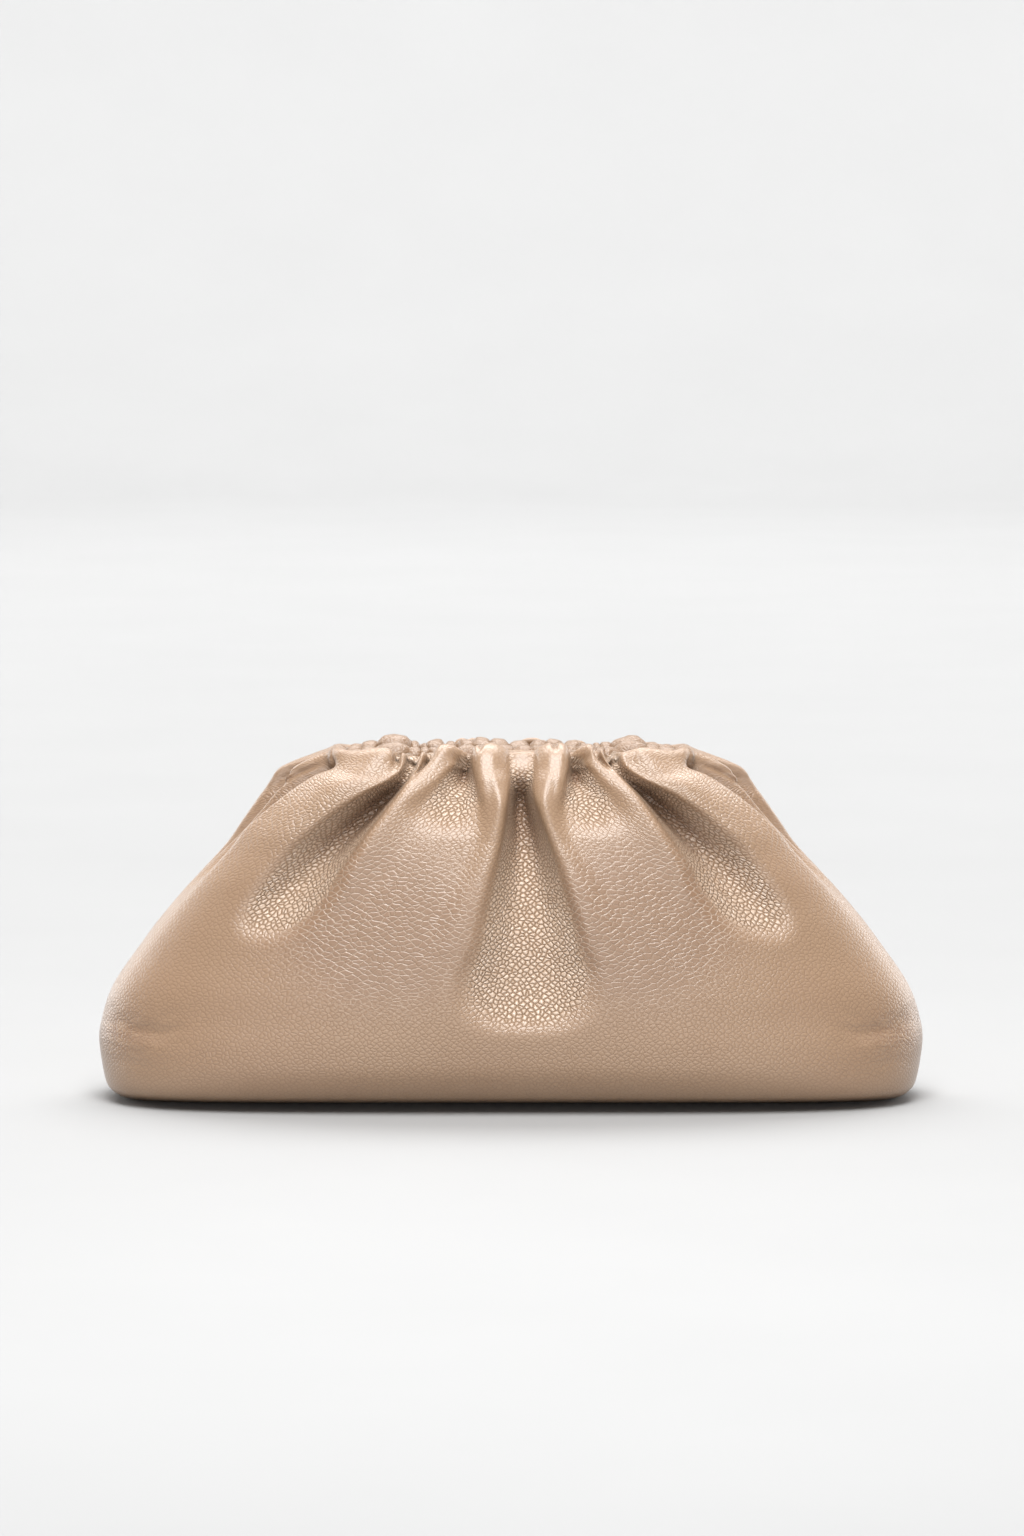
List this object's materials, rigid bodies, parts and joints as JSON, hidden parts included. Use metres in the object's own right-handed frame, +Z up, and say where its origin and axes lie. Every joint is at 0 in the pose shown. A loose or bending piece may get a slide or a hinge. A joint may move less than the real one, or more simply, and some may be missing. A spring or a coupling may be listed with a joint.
{
  "type": "gathered clutch bag",
  "caption": "Soft gathered leather clutch: wide rounded body, pleats drawn up to a long narrow mouth with ruched casings over a hidden frame.",
  "frame": {"origin": "on the floor, under the middle of the bag", "axes": "+Z up, +X along the mouth to the right as seen from the front, -Y out of the front"},
  "size_m": [0.3796, 0.128, 0.1654],
  "materials": {
    "leather_tan": "soft tumbled grain, satin",
    "leather_ruched": "soft tumbled grain, satin",
    "frame_steel": "satin"
  },
  "bodies": {
    "root": {"pouch_body": "leather_tan", "front_casing": "leather_ruched", "back_casing": "leather_ruched", "mouth_frame": "frame_steel"}
  },
  "joints": []
}
